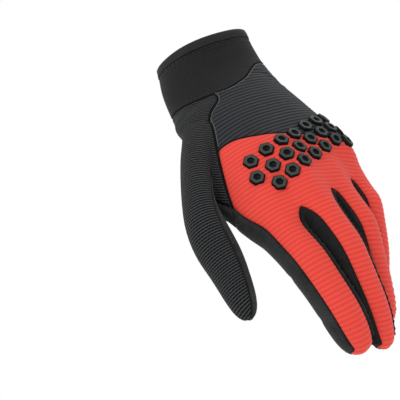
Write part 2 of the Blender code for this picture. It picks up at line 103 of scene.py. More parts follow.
# Fingers: name, knuckle across (PALM_BREADTH), knuckle station (PALM_LENGTH), knuckle drop
# (PALM_DEPTH), roll and spread in degrees, three bone lengths (FINGER_LENGTH), half width
# (PALM_BREADTH), three bends in degrees, cage row at the knuckle and at the web (FINGER_LENGTH)
FINGERS = [
    ("index", -0.38, 0.98, 0.30, -18, 5, 0.450, 0.255, 0.265, 0.158, 15, 19, 15, 0.01, 0.21),
    ("middle", -0.12, 1.00, -0.10, -6, 8, 0.464, 0.287, 0.271, 0.128, 24, 21, 10, 0.00, 0.21),
    ("ring", 0.15, 0.92, 0.00, 10, 11.5, 0.423, 0.269, 0.255, 0.126, 19, 28, 0, 0.04, 0.19),
    ("little", 0.395, 0.84, 0.18, 20, 10, 0.336, 0.208, 0.232, 0.126, 15, 30, 3, 0.12, 0.20)]
# Rings of a finger: bone, share along it (past the web on the first), width share, thickness share
FINGER_RINGS = [(0, 0.28, 0.98, 0.95), (0, 0.62, 0.95, 0.94), (0, 1.00, 0.97, 0.98), (1, 0.45, 0.91, 0.90),
                (1, 1.00, 0.90, 0.88), (2, 0.42, 0.86, 0.82), (2, 0.80, 0.66, 0.62)]
FINGER_SWELL = 1.15                    # palm side of a finger against its back
FINGER_CORNER = 0.10                   # how much fuller its palm side's corners are
WEB_DEPTH = (0.10, 0.05, 0.06)         # webs reach past the web row (FINGER_LENGTH)
RING_ANGLES = (142, 90, 38, -6, -48, -90, -132, 186)

# Outer side of the index finger: column, then at the knuckle and at the web how far ahead (share of
# FINGER_LENGTH), angle, width and thickness
INDEX_SIDE = [("D0", (0.066, 152, 1.65, 0.60), (-0.030, 142, 1, 0.95)),
              ("R", (0.135, 200, 1.25, 1), (0, 186, 1, 1)),
              ("P0", (0.090, -135, 1.2, 1.3), (0, -132, 1, 1.1))]
# Thumb: across and half width (PALM_BREADTH), station (PALM_LENGTH), out of the palm (PALM_DEPTH)
THUMB = [(-0.630, 0.690, -0.120, 0.218), (-0.775, 1.010, -0.500, 0.180),
         (-0.715, 1.210, -0.800, 0.148), (-0.755, 1.440, -1.056, 0.096)]
THUMB_ROLL = 8             # degrees
THUMB_FLAT = 0.93          # the thumb is this much thinner than wide
THUMB_CAP = 0.050          # last ring to the tip (FINGER_LENGTH)
THUMB_WEB = {38: 0.25, -6: 0.55, -48: 0.35}    # pull of the first ring to the palm, by angle

# Knuckle pads: columns across the back, place of the first pad across (PALM_BREADTH) and along
# (PALM_LENGTH), pads in the column; the others follow down the column
PAD_COLUMNS = [(-0.365, 0.915, 2), (-0.243, 0.900, 3), (-0.122, 0.886, 3), (0.008, 0.856, 3),
               (0.137, 0.815, 3), (0.262, 0.778, 3), (0.375, 0.738, 3), (0.440, 0.815, 2)]
PAD_LEAN = 16              # degrees, columns lean to the thumb side


def blend(x, table, column):
    """Linear value of a table's column at x; the first column is the position."""
    rows = sorted(table)
    if x <= rows[0][0]:
        return rows[0][column]
    for low, high in zip(rows, rows[1:]):
        if x <= high[0]:
            k = (x - low[0]) / (high[0] - low[0])
            return low[column] * (1 - k) + high[column] * k
    return rows[-1][column]


def hand_frame(share):
    """Directions of the hand when the wrist is bent by a share of its full bend."""
    bend, turn = radians(WRIST_BEND) * share, radians(WRIST_TURN) * share
    along = Vector((-sin(turn), -sin(bend) * cos(turn), -cos(bend) * cos(turn)))
    out = Vector((0, -cos(bend), sin(bend)))
    return along, out, out.cross(along)


def hand_axis(station):
    """Centre, direction, back normal and cross direction at a station in metres."""
    start, end = BEND_FROM * PALM_LENGTH, BEND_TO * PALM_LENGTH
    if station <= start:
        return (Vector((0, 0, -station)), *hand_frame(0))
    centre, reach, steps = Vector((0, 0, -start)), min(station, end) - start, 8
    for i in range(steps):
        share = (i + 0.5) / steps * reach / (end - start)
        centre += hand_frame(share)[0] * reach / steps
    along, out, across = hand_frame(reach / (end - start))
    return centre + along * max(0, station - end), along, out, across


def hand_point(across_share, station_share, out_share):
    centre, along, out, across = hand_axis(station_share * PALM_LENGTH)
    return centre + across * across_share * PALM_BREADTH + out * out_share * PALM_DEPTH


def palm_point(angle, station, bulge=0.0):
    """Point of the palm's rounded section at an angle and a station in metres."""
    share = station / PALM_LENGTH
    half, shift, rise, drop = [blend(share, SECTIONS, k) for k in (1, 2, 3, 4)]
    c, s, power = cos(radians(angle)), sin(radians(angle)), 2 / 2.35
    x = abs(c) ** power * (1 if c > 0 else -1)
    y = abs(s) ** power * (1 if s > 0 else -1)
    centre, along, out, across = hand_axis(station)
    return (centre + across * (shift + half * x - bulge) * PALM_BREADTH
            + out * y * (rise if y > 0 else drop) * PALM_DEPTH)


class Finger:
    """One finger's bones, bent at three joints."""

    def __init__(self, row):
        self.name, x, station, drop, roll, spread, *bones, half, f1, f2, f3, self.knuckle, self.web = row
        centre, along, out, across = hand_axis(station * PALM_LENGTH)
        self.half = half * PALM_BREADTH
        r, s = radians(roll), radians(spread)
        self.out = out * cos(r) + across * sin(r)
        side = across * cos(r) - out * sin(r)
        self.ahead = along * cos(s) + side * sin(s)
        self.side = side * cos(s) - along * sin(s)
        self.bones = [b * FINGER_LENGTH for b in bones]
        a1, a2, a3 = f1, f1 + f2, f1 + f2 + f3
        l1, l2, l3 = self.bones
        self.turns = [(0, a1 * 0.5), (l1 * 0.25, a1 * 0.85), (l1 * 0.6, a1), (l1, (a1 + a2) / 2),
                      (l1 + l2 / 2, a2), (l1 + l2, (a2 + a3) / 2), (l1 + l2 + l3, a3)]
        self.joints = [centre + across * x * PALM_BREADTH - out * drop * PALM_DEPTH]
        for length, a in zip(self.bones, (a1, a2, a3)):
            step = self.ahead * cos(radians(a)) - self.out * sin(radians(a))
            self.joints.append(self.joints[-1] + step * length)

    def point(self, t, angle, wide=1.0, thick=1.0):
        """Point of the finger's section t metres past the knuckle."""
        a = radians(blend(t, self.turns, 1))
        back = self.out * cos(a) + self.ahead * sin(a)
        spot, left = self.joints[0], t
        for i, length in enumerate(self.bones):
            use = min(left, length) if i < 2 else left
            spot = spot + (self.joints[i + 1] - self.joints[i]) / length * use
            left -= use
            if left <= 0:
                break
        c, s = cos(radians(angle)), sin(radians(angle))
        if s < 0:
            thick *= FINGER_SWELL
            wide *= 1 - FINGER_CORNER * 2 * s * abs(c)
        return spot + (self.side * c * wide + back * s * thick) * self.half


def panel_of(part, i, j):
    """Which panel a cage face belongs to: part, band along it, segment round it."""
    if part == "palm":
        if i < CUFF_ROW:
            return "cuff"
        if j >= 18:
            return "side_mesh" if i < KNUCKLE_ROW else "palm"
        if j <= 8:
            return "back_upper" if i < PANEL_ROW else "back_lower"
        return "palm"
    if part == "thumb":
        if i == "cap":
            return "side_mesh" if j < 2 else "thumb_palm"
        return "side_mesh" if j in (0, 1, 2, 7) or (i == 0 and j == 3) else "thumb_palm"
    if i == "cap":
        return "back_lower" if j < 2 else "palm"
    if j in (0, 1) or (part == "little" and j == 2):
        return "back_lower"
    if j in (4, 5) or (part == "index" and j in (6, 7)) or (part == "little" and j == 3):
        return "palm"
    gap = ["index", "middle", "ring", "little"].index(part) + (0 if j in (6, 7) else 1)
    return "fourchette_%d" % gap


EASE_STEPS = 2             # rounds of evening out the walls' inward directions
# Panels and their walls; a panel's place here is its material number on the cage
PANELS = {"cuff": CUFF_THICK, "back_upper": BACK_THICK, "back_lower": BACK_THICK, "side_mesh": MESH_THICK,
          "palm": PALM_THICK, "thumb_palm": PALM_THICK, "fourchette_1": FOURCHETTE_THICK,
          "fourchette_2": FOURCHETTE_THICK, "fourchette_3": FOURCHETTE_THICK}


def hand_cage():
    """Coarse cage of the whole glove: palm, four fingers and thumb in one sheet open at the cuff."""
    points, faces, panels, ribs = [], [], [], []
    order = list(PANELS)

    def add(p, rib=0.0):
        points.append(p)
        ribs.append(rib)
        return len(points) - 1

    def face(corners, *place):
        faces.append(corners)
        panels.append(order.index(panel_of(*place)))

    grid = []
    for r, (kind, share, lean, bulge) in enumerate(ROWS):
        row = []
        for name, angle, tilt, cuff_at, panel_at in COLUMNS:
            if kind == "cuff":
                rim = (BINDING_THICK + SEAM_GAP) / PALM_LENGTH
                station = rim + (cuff_at - rim) * share
            else:
                k = CLIMB[name][r - 4] if name in CLIMB and 4 <= r <= 6 else share
                station = cuff_at + (panel_at - cuff_at) * k
            spot = palm_point(angle + tilt * lean, station * PALM_LENGTH, bulge * BULGE.get(name, 0))
            row.append(add(spot, (station - panel_at) * PALM_LENGTH))
        grid.append(row)

    fingers = [Finger(row) for row in FINGERS]
    # how far a finger's knuckle lies past the border of the two back panels
    past = [(FINGERS[n][2] - COLUMNS[2 * n + 1][4]) * PALM_LENGTH for n in range(4)]
    webs = [None]
    for r in (KNUCKLE_ROW, WEB_ROW):
        row, at_web = [None] * len(NAMES), r == WEB_ROW
        for n, f in enumerate(fingers):
            t = (f.web if at_web else f.knuckle) * FINGER_LENGTH
            rise, drop = (1.02, 1.12) if at_web else (1.30 if n < 3 else 1.12, 1.35)
            row[2 * n + 1] = add(f.point(t, 90, 1, rise), past[n] + t)
            row[NAMES.index("P%d" % (2 * n + 1))] = add(f.point(t, -90, 1, drop), past[n] + t)
            if n == 0:
                for name, *places in INDEX_SIDE:
                    ahead, angle, wide, thick = places[at_web]
                    spot = f.point(t + ahead * FINGER_LENGTH, angle, wide, thick)
                    row[NAMES.index(name)] = add(spot, past[n] + t)
            if n == 3:
                row[8] = add(f.point(t, 38, 1, 0.95 if at_web else 1.1), past[n] + t)
                row[NAMES.index("U")] = add(f.point(t, -6, 1.02, 1), past[n] + t)
                row[NAMES.index("P8")] = add(f.point(t, -48, 1, 1.1), past[n] + t)
            if n < 3:
                g = fingers[n + 1]
                u = (g.web if at_web else g.knuckle) * FINGER_LENGTH
                ahead = WEB_DEPTH[n] * FINGER_LENGTH if at_web else 0

                def between(angle, thick, more=0.0):
                    mine = f.point(t + more, angle, 1, thick)
                    return (mine + g.point(u + more, 180 - angle, 1, thick)) / 2

                mean = (past[n] + t + past[n + 1] + u) / 2
                row[2 * n + 2] = add(between(36, 0.98) if at_web else between(42, 1.18), mean)
                under = between(-50, 1.1 if at_web else 1.3, ahead * 1.2)
                row[NAMES.index("P%d" % (2 * n + 2))] = add(under, mean)
                if at_web:
                    webs.append(add(between(-6, 1, ahead), mean))
        grid.append(row)
    webs.append(None)

    columns = len(NAMES)
    for r in range(WEB_ROW):
        for j in range(columns):
            k = (j + 1) % columns
            if j >= columns - 2 and HOLE_TOP <= r < KNUCKLE_ROW:
                continue
            face((grid[r][k], grid[r][j], grid[r + 1][j], grid[r + 1][k]), "palm", r, j)

    def tube(name, base, rings, tip, steps):
        last = base
        for b, ring in enumerate(rings):
            ring = [add(p, steps[b]) for p in ring]
            for j in range(8):
                k = (j + 1) % 8
                face((last[k], last[j], ring[j], ring[k]), name, b, j)
            last = ring
        end = add(tip, steps[-1])
        for j, (a, b, c) in enumerate(((7, 0, 1), (1, 2, 3), (3, 4, 5), (5, 6, 7))):
            face((end, last[c], last[b], last[a]), name, "cap", j)

    web = grid[WEB_ROW]

    def palm_side(k):
        return web[NAMES.index("P%d" % k)]

    for n, f in enumerate(fingers):
        base = [web[2 * n], web[2 * n + 1], web[2 * n + 2], webs[n + 1] if n < 3 else web[NAMES.index("U")],
                palm_side(2 * n + 2), palm_side(2 * n + 1), palm_side(2 * n),
                webs[n] if n > 0 else web[NAMES.index("R")]]
        rings, steps = [], []
        for bone, share, wide, thick in FINGER_RINGS:
            start = sum(f.bones[:bone]) if bone else f.web * FINGER_LENGTH
            t = start + share * (sum(f.bones[:bone + 1]) - start)
            rings.append([f.point(t, a, wide, thick) for a in RING_ANGLES])
            steps.append(past[n] + t)
        tube(f.name, base, rings, f.joints[3], steps + [past[n] + sum(f.bones)])

    def spot(r, name):
        return grid[r][NAMES.index(name)]

    mid = HOLE_TOP + 1
    base = [spot(HOLE_TOP, "P0"), spot(HOLE_TOP, "R"), spot(HOLE_TOP, "D0"), spot(mid, "D0"),
            spot(KNUCKLE_ROW, "D0"), spot(KNUCKLE_ROW, "R"), spot(KNUCKLE_ROW, "P0"), spot(mid, "P0")]
    centres = [hand_point(x, s, o) for x, s, o, w in THUMB]
    along, out, across = hand_frame(1)
    facing = -across * cos(radians(THUMB_ROLL)) + out * sin(radians(THUMB_ROLL))
    rings = []
    for n, centre in enumerate(centres):
        before = centres[n - 1] if n else (points[base[1]] + points[base[5]]) / 2
        ahead = (centre - before).normalized()
        if n + 1 < len(centres):
            ahead = (ahead + (centres[n + 1] - centre).normalized()).normalized()
        back = (facing - ahead * facing.dot(ahead)).normalized()
        side = back.cross(ahead)
        half = THUMB[n][3] * PALM_BREADTH
        rings.append([centre + (side * cos(a) + back * sin(a) * THUMB_FLAT) * half
                      for a in map(radians, RING_ANGLES)])
    for k, a in enumerate(RING_ANGLES):
        if a in THUMB_WEB:
            rings[0][k] = rings[0][k].lerp(points[base[k]] + along * 0.05 * PALM_LENGTH, THUMB_WEB[a])
    steps = [0.02 * (n + 1) for n in range(len(rings) + 1)]
    tip = centres[-1] + (centres[-1] - centres[-2]).normalized() * THUMB_CAP * FINGER_LENGTH
    tube("thumb", base, rings, tip, steps)
    return points, faces, panels, ribs


def inward_ways(sheet):
    """Direction into the glove at every vertex of the sheet, eased over its neighbours so that the
    walls don't cross in the narrow webs."""
    ways = [-v.normal for v in sheet.vertices]
    for step in range(EASE_STEPS):
        total = [way.copy() for way in ways]
        for edge in sheet.edges:
            a, b = edge.vertices
            total[a] += ways[b]
            total[b] += ways[a]
        ways = [t.normalized() for t in total]
    return ways


def pad_spots(surface):
    """Point, normal and column direction of every knuckle pad on the back of the glove."""
    centre, along, out, across = hand_axis(PALM_LENGTH)
    lean = radians(PAD_LEAN)
    down = along * cos(lean) - across * sin(lean)
    spots = []
    for x, station, count in PAD_COLUMNS:
        spot = centre + across * x * PALM_BREADTH + along * (station - 1) * PALM_LENGTH
        for n in range(count):
            found = surface.find_nearest(spot) if n else surface.ray_cast(spot + out * PALM_BREADTH, -out)
            hit, normal = found[:2]
            ring = [down * cos(a) + across * sin(a) for a in (0, 1.05, 2.09, 3.14, 4.19, 5.24)]
            above = hit + normal * 0.01
            near = [surface.ray_cast(above + way * PAD_WIDTH * 0.4, -normal)[1] for way in ring]
            normal = (normal + sum([v for v in near if v], Vector())).normalized()
            step = (down - normal * down.dot(normal)).normalized()
            spots.append((hit, normal, step))
            spot = hit + step * PAD_PITCH
    return spots


LEVELS = 3        # smoothing of the form; CAD uses one
EYE = Vector((-0.4010, -0.4500, -0.1730))
AIM = Vector((-0.0495, 0.0, -0.0825))
CAMERA_ROLL = -28                      # degrees
CAMERA_LENS, SENSOR = 95.5, 36         # millimetres
FLOOR_AT, FLOOR_SIZE = -0.34, 6
# Soft boxes: place along the camera's right, up and back directions, size, power
LAMPS = [("key", (-0.62, 0.55, 0.62), 0.5, 4.2), ("fill", (0.55, 0.1, 0.8), 0.8, 0.8),
         ("rim", (0.2, 0.7, -0.6), 0.4, 1.2)]

RIB_PITCH = 0.0024
# Ribbed panels: height of the ribs, roundness (a low value gives flat ribs with thin valleys) and
# their turn against the flat panel in degrees
RIBS = {"back_upper": (0.00026, 2.2, -30), "back_lower": (0.00018, 1.5, -16)}
RIB_ACROSS = 0.72                      # edges that cross the ribs at least this squarely are split
GATHER_PITCH, GATHER_DEPTH = 0.0031, 0.00032           # ripples of the stretch gussets
GUSSET_PUFF = 0.0009                   # how far they swell between the fingers
EDGE_ROLL, EDGE_REACH = 0.00055, 1.5   # borders roll in: depth in metres, reach in mm
SOFTNESS, SOFT_SCALE = 0.00025, 55     # slow unevenness of every cloth
SEAM_CLOSE = 0.00003                   # panels meet at their seams here
CUFF_RADIUS = 32                       # mm, lays the cuff's knit out round it

# Folds pressed into each panel: place across and along the hand (as in hand_point), heading of the
# fold in degrees from the hand's direction, half length, half width and depth in metres
FOLDS = {"palm": [(-0.20, 0.62, 26, 0.028, 0.0023, 0.0020), (0.08, 0.90, 80, 0.030, 0.0021, 0.0016),
                  (0.14, 0.72, 70, 0.028, 0.0020, 0.0012), (0.05, 0.34, 92, 0.026, 0.0022, 0.0014),
                  (-0.36, 0.84, 40, 0.014, 0.0019, 0.0012), (0.30, 0.50, 12, 0.024, 0.0024, 0.0011),
                  (0.00, 0.26, 84, 0.020, 0.0019, 0.0010)],
         "thumb_palm": [(-0.60, 1.00, 100, 0.012, 0.0018, 0.0009)],
         "back_lower": [(-0.44, 1.02, 128, 0.009, 0.0017, 0.0006),
                        (-0.30, 1.10, 60, 0.010, 0.0018, 0.0004)],
         "side_mesh": [(-0.46, 0.46, 104, 0.012, 0.0019, 0.0007),
                       (-0.46, 0.56, 96, 0.014, 0.0022, 0.0005)],
         "cuff": [(-0.10, 0.20, 96, 0.020, 0.0026, 0.0004)],
         "back_upper": [(0.30, 0.36, 88, 0.018, 0.0024, 0.0005)]}
JOINT_FOLD, JOINT_FOLD_WIDTH = 0.0011, 0.0017          # creases inside the bent finger joints

# Grip print: how far it reaches past the web on each finger (mm), the fingertip pads that carry it
GRIP_START, GRIP_END = -7.0, (37.0, 9.0, 9.0, 8.0)
GRIP_TIPS, TIP_START, TIP_END = (0, 1), 20.0, 4.0      # fingers, mm before the tip
GRIP_PITCH = 2.5                       # mm
GRIP_SPREAD = 0.009                    # metres, how softly one finger's strips pass into the next
GRIP_FACING = 0.42                     # the print stops where the cloth turns off the palm side

# Rows of stitches: panel, the neighbours along whose seam they run, distance from the seam, pitch,
# length and width of a stitch
SEAMS = [("palm", ("back_lower", "side_mesh"), 0.0016, 0.0026, 0.0019, 0.00034),
         ("side_mesh", ("back_upper", "back_lower"), 0.0012, 0.0024, 0.0017, 0.00036),
         ("thumb_palm", ("side_mesh",), 0.0016, 0.0026, 0.0019, 0.00036),
         ("cuff", ("side_mesh", "palm", "back_upper"), 0.0014, 0.0026, 0.0019, 0.00036)]
PALE_SEAM = ("back_upper", ("cuff", "side_mesh"), 0.0008, 0.0015, 0.0011, 0.00030)
HEM_ROWS, HEM_STITCH = (-0.0048, -0.0062), (0.0026, 0.0019, 0.0004)

MESH_COLUMN, MESH_ROW = 1.9, 2.8       # mm, pitch of the side mesh's holes
PAD_SIDES = 36                         # points round a knuckle pad
# Section of a pad: share of its corner radius and of its height, the recess last
PAD_PROFILE = [(1.01, -0.4), (1.0, 0.10), (0.985, 0.45), (0.955, 0.68), (0.90, 0.80), (0.85, 0.84),
               (0.83, 0.845), (0.66, 0.85), (0.49, 0.84), (0.47, 0.82), (0.445, 0.76), (0.43, 0.40),
               (0.40, 0.30), (0.0, 0.28)]


def put(name, data):
    obj = bpy.data.objects.new(name, data)
    bpy.context.scene.collection.objects.link(obj)
    return obj


def mesh_from(bm, name):
    """The bmesh as a smooth-shaded mesh."""
    mesh = bpy.data.meshes.new(name)
    bm.to_mesh(mesh)
    bm.free()
    for p in mesh.polygons:
        p.use_smooth = True
    return mesh


def tree_of(mesh):
    return BVHTree.FromPolygons([v.co for v in mesh.vertices], [p.vertices[:] for p in mesh.polygons])


def smooth_cage(points, faces, panels, levels):
    """A cage with a Subdivision Surface modifier, evaluated into a mesh that keeps the panels."""
    mesh = bpy.data.meshes.new("form")
    mesh.from_pydata([tuple(p) for p in points], [], faces)
    for name in PANELS:
        mesh.materials.append(bpy.data.materials.new("form_" + name))
    for poly, index in zip(mesh.polygons, panels):
        poly.material_index = index
    cage = put("form", mesh)
    sub = cage.modifiers.new("smooth", "SUBSURF")
    sub.levels = sub.render_levels = levels
    bpy.context.view_layer.update()
    fine = bpy.data.meshes.new_from_object(cage.evaluated_get(bpy.context.evaluated_depsgraph_get()))
    bpy.data.objects.remove(cage, do_unlink=True)
    bpy.data.meshes.remove(mesh)
    for name in PANELS:
        bpy.data.materials.remove(bpy.data.materials["form_" + name])
    return fine


def unwrap(sheet, polys, ribs):
    """Flat cloth coordinates in millimetres at each vertex of a panel, laid along the hand."""
    used = sorted({v for p in polys for v in p.vertices})
    place = {v: n for n, v in enumerate(used)}
    co = [sheet.vertices[v].co for v in used]
    mesh = bpy.data.meshes.new("flat")
    mesh.from_pydata([tuple(c) for c in co], [], [[place[v] for v in p.vertices] for p in polys])
    obj = put("flat", mesh)
    mesh.uv_layers.new(name="flat")
    bpy.context.view_layer.objects.active = obj
    obj.select_set(True)
    bpy.ops.object.mode_set(mode="EDIT")
    bpy.ops.mesh.select_all(action="SELECT")
    bpy.ops.uv.unwrap(method="ANGLE_BASED", margin=0.0)
    bpy.ops.object.mode_set(mode="OBJECT")
    uv = np.zeros((len(used), 2))
    count = np.zeros(len(used))
    for loop, data in zip(mesh.loops, mesh.uv_layers["flat"].data):
        uv[loop.vertex_index] += data.uv
        count[loop.vertex_index] += 1
    uv /= count[:, None]
    co = np.array(co)
    ends = np.array([e.vertices[:] for e in mesh.edges])
    real = np.linalg.norm(co[ends[:, 0]] - co[ends[:, 1]], axis=1)
    flat = np.linalg.norm(uv[ends[:, 0]] - uv[ends[:, 1]], axis=1)
    uv *= np.median(real / np.maximum(flat, 1e-9)) * 1000
    along = np.array([ribs[v] for v in used])
    slope, *rest = np.linalg.lstsq(np.c_[uv, np.ones(len(uv))], along, rcond=None)
    turn = slope[:2] / np.linalg.norm(slope[:2])
    uv = np.c_[uv @ np.array([turn[1], -turn[0]]), uv @ turn]
    bpy.data.objects.remove(obj, do_unlink=True)
    bpy.data.meshes.remove(mesh)
    return {v: uv[n] for n, v in enumerate(used)}


def finger_places(fingers, p):
    """For each finger: how far p lies from its bones and how far along them, past the knuckle."""
    found = []
    for f in fingers:
        best, start = None, 0.0
        for k, length in enumerate(f.bones):
            a = f.joints[k]
            way = (f.joints[k + 1] - a) / length
            along = (p - a).dot(way)
            along = min(along, length) if k == 0 else max(0.0, min(along, length * (2 if k == 2 else 1)))
            away = (a + way * along - p).length
            if best is None or away < best[0]:
                best = (away, start + along)
            start += length
        found.append(best)
    return found


def grip_marks(fingers, p, normal):
    """Place across the grip's strips (mm) and how deep inside the printed field a point lies (mm)."""
    places = finger_places(fingers, p)
    weights = [exp(-(away / GRIP_SPREAD) ** 2) + 1e-9 for away, t in places]
    total = sum(weights)
    past = [(t - f.web * FINGER_LENGTH) * 1000 for f, (away, t) in zip(fingers, places)]
    at = sum(w * m for w, m in zip(weights, past)) / total
    end = sum(w * m for w, m in zip(weights, GRIP_END)) / total
    inside = min(at - GRIP_START, end - at)
    n = places.index(min(places))
    nearest, t = fingers[n], places[n][1]
    if n in GRIP_TIPS:
        left = (sum(nearest.bones) - t) * 1000
        inside = max(inside, min(TIP_START - left, left - TIP_END))
    t = max(t, 0)
    facing = -normal.dot(nearest.point(t, 90) - nearest.point(t, 0, 0)) / nearest.half
    return at, min(inside, (facing - GRIP_FACING) * 9)


def fold_depth(name, fingers, p, normal):
    """How far the folds press the cloth in at a point."""
    centre, along, out, across = hand_axis(PALM_LENGTH)
    depth = 0.0
    side = -1 if "palm" in name else 1
    for x, station, heading, reach, width, deep in FOLDS.get(name, ()):
        if normal.dot(out) * side < 0.05:
            continue
        middle = centre + across * x * PALM_BREADTH + along * (station - 1) * PALM_LENGTH
        way = along * cos(radians(heading)) + across * sin(radians(heading))
        cut = out.cross(way)
        a, b = (p - middle).dot(way) / reach, (p - middle).dot(cut) / width
        if abs(a) < 1 and abs(b) < 3:
            # a fold wavers, and the cloth beside it swells a little
            b += 0.7 * sin(a * 4 + heading)
            depth += deep * (1 - a * a) * (exp(-b * b) - 0.35 * exp(-((abs(b) - 1.7) / 0.8) ** 2))
    if name == "palm" or name.startswith("fourchette"):
        for f in fingers:
            for k in (1, 2):
                way = (f.joints[k + 1] - f.joints[k - 1]).normalized()
                offset = p - f.joints[k]
                if offset.length < f.half * 2.2:
                    inner = -normal.dot(f.out * cos(radians(30)) + f.ahead * sin(radians(30)))
                    b = offset.dot(way) / JOINT_FOLD_WIDTH
                    depth += JOINT_FOLD * max(0.0, inner) * exp(-b * b)
    return depth


def edge_uses(polys):
    """Uses of each edge of some faces: its ends in the face's order and the face."""
    uses = {}
    for p in polys:
        corners = list(p.vertices)
        for a, b in zip(corners, corners[1:] + corners[:1]):
            uses.setdefault(frozenset((a, b)), []).append((a, b, p))
    return uses


def into_face(sheet, a, b, p):
    return p.normal.cross(sheet.vertices[b].co - sheet.vertices[a].co).normalized()


def panel_piece(sheet, ways, ribs, fingers, name):
    """A dressed panel: closed wall with rolled borders, ribs where the cloth has them, and the
    attributes "flat" (cloth coordinates, mm), "rib" (place along the ribs, in ribs) and "edge"
    (distance to its border, mm). The palm also has "grip_at" and "grip_in", as in grip_marks."""
    index = list(PANELS).index(name)
    polys = [p for p in sheet.polygons if p.material_index == index]
    used = sorted({v for p in polys for v in p.vertices})
    rim = [uses[0] for uses in edge_uses(polys).values() if len(uses) == 1]
    draw = {v: Vector() for v in used}
    tree = KDTree(len(rim) * 4)
    for n, (a, b, p) in enumerate(rim):
        inward = into_face(sheet, a, b, p)
        draw[a] += inward
        draw[b] += inward
        for k in range(4):
            tree.insert(sheet.vertices[a].co.lerp(sheet.vertices[b].co, k / 4), 4 * n + k)
    tree.balance()
    flat = unwrap(sheet, polys, ribs) if name != "cuff" else None
    depth, roundness, turn = RIBS.get(name, (0.0, 1.0, 0))
    turn = radians(turn)
    bm = bmesh.new()
    flay = bm.verts.layers.float_vector.new("flat")
    rlay, elay, olay = [bm.verts.layers.float.new(k) for k in ("rib", "edge", "outer")]
    grip = [bm.verts.layers.float.new(k) for k in ("grip_at", "grip_in")] if name == "palm" else []
    outer, inner = {}, {}
    for v in used:
        co = sheet.vertices[v].co
        pull = draw[v] * (SEAM_CLOSE / max(draw[v].length_squared, 0.6))
        u, w = flat[v] if flat else (atan2(co.y, co.x) * CUFF_RADIUS, -co.z * 1000)
        rib = (w * cos(turn) + u * sin(turn)) / 1000 if depth else ribs[v]
        for store, wall, side in ((outer, 0.0, 1.0), (inner, PANELS[name], 0.0)):
            vert = bm.verts.new(co + pull + ways[v] * wall)
            vert[flay] = (u, w, 0)
            vert[rlay], vert[elay], vert[olay] = rib / RIB_PITCH, tree.find(co)[2] * 1000, side
            if grip:
                vert[grip[0]], vert[grip[1]] = grip_marks(fingers, co, sheet.vertices[v].normal)
            store[v] = vert
    for p in polys:
        bm.faces.new([outer[v] for v in p.vertices])
        bm.faces.new([inner[v] for v in reversed(p.vertices)])
    for a, b, p in rim:
        bm.faces.new((outer[b], outer[a], inner[a], inner[b]))
    if depth:
        split = []
        for e in bm.edges:
            a, b = e.verts
            rise = abs(a[rlay] - b[rlay]) * RIB_PITCH
            if a[olay] + b[olay] > 1.5 and rise > RIB_ACROSS * e.calc_length():
                split.append(e)
        bmesh.ops.subdivide_edges(bm, edges=split, cuts=3)
    bm.normal_update()
    moves = []
    for v in bm.verts:
        if v[olay] < 0.5:
            continue
        far = v[elay]
        lift = SOFTNESS * noise.noise(v.co * SOFT_SCALE) * min(1.0, far / 4)
        lift -= EDGE_ROLL * max(0.0, 1 - far / EDGE_REACH) ** 2
        lift -= fold_depth(name, fingers, v.co, v.normal) * min(1.0, far / 2.0)
        if depth:
            lift += depth * (abs(cos(pi * v[rlay])) ** roundness - 0.35) * min(1.0, far / 1.2)
        if name.startswith("fourchette"):
            ripple = v[rlay] * RIB_PITCH * 2 * pi / GATHER_PITCH + 2 * noise.noise(v.co * 120)
            lift += GUSSET_PUFF * min(1.0, far / 3.0) ** 0.5 + GATHER_DEPTH * sin(ripple)
        moves.append((v, v.normal * lift))
    for v, move in moves:
        v.co += move
    mesh = mesh_from(bm, name + "_cloth")
    mesh.attributes.remove(mesh.attributes["outer"])
    return mesh


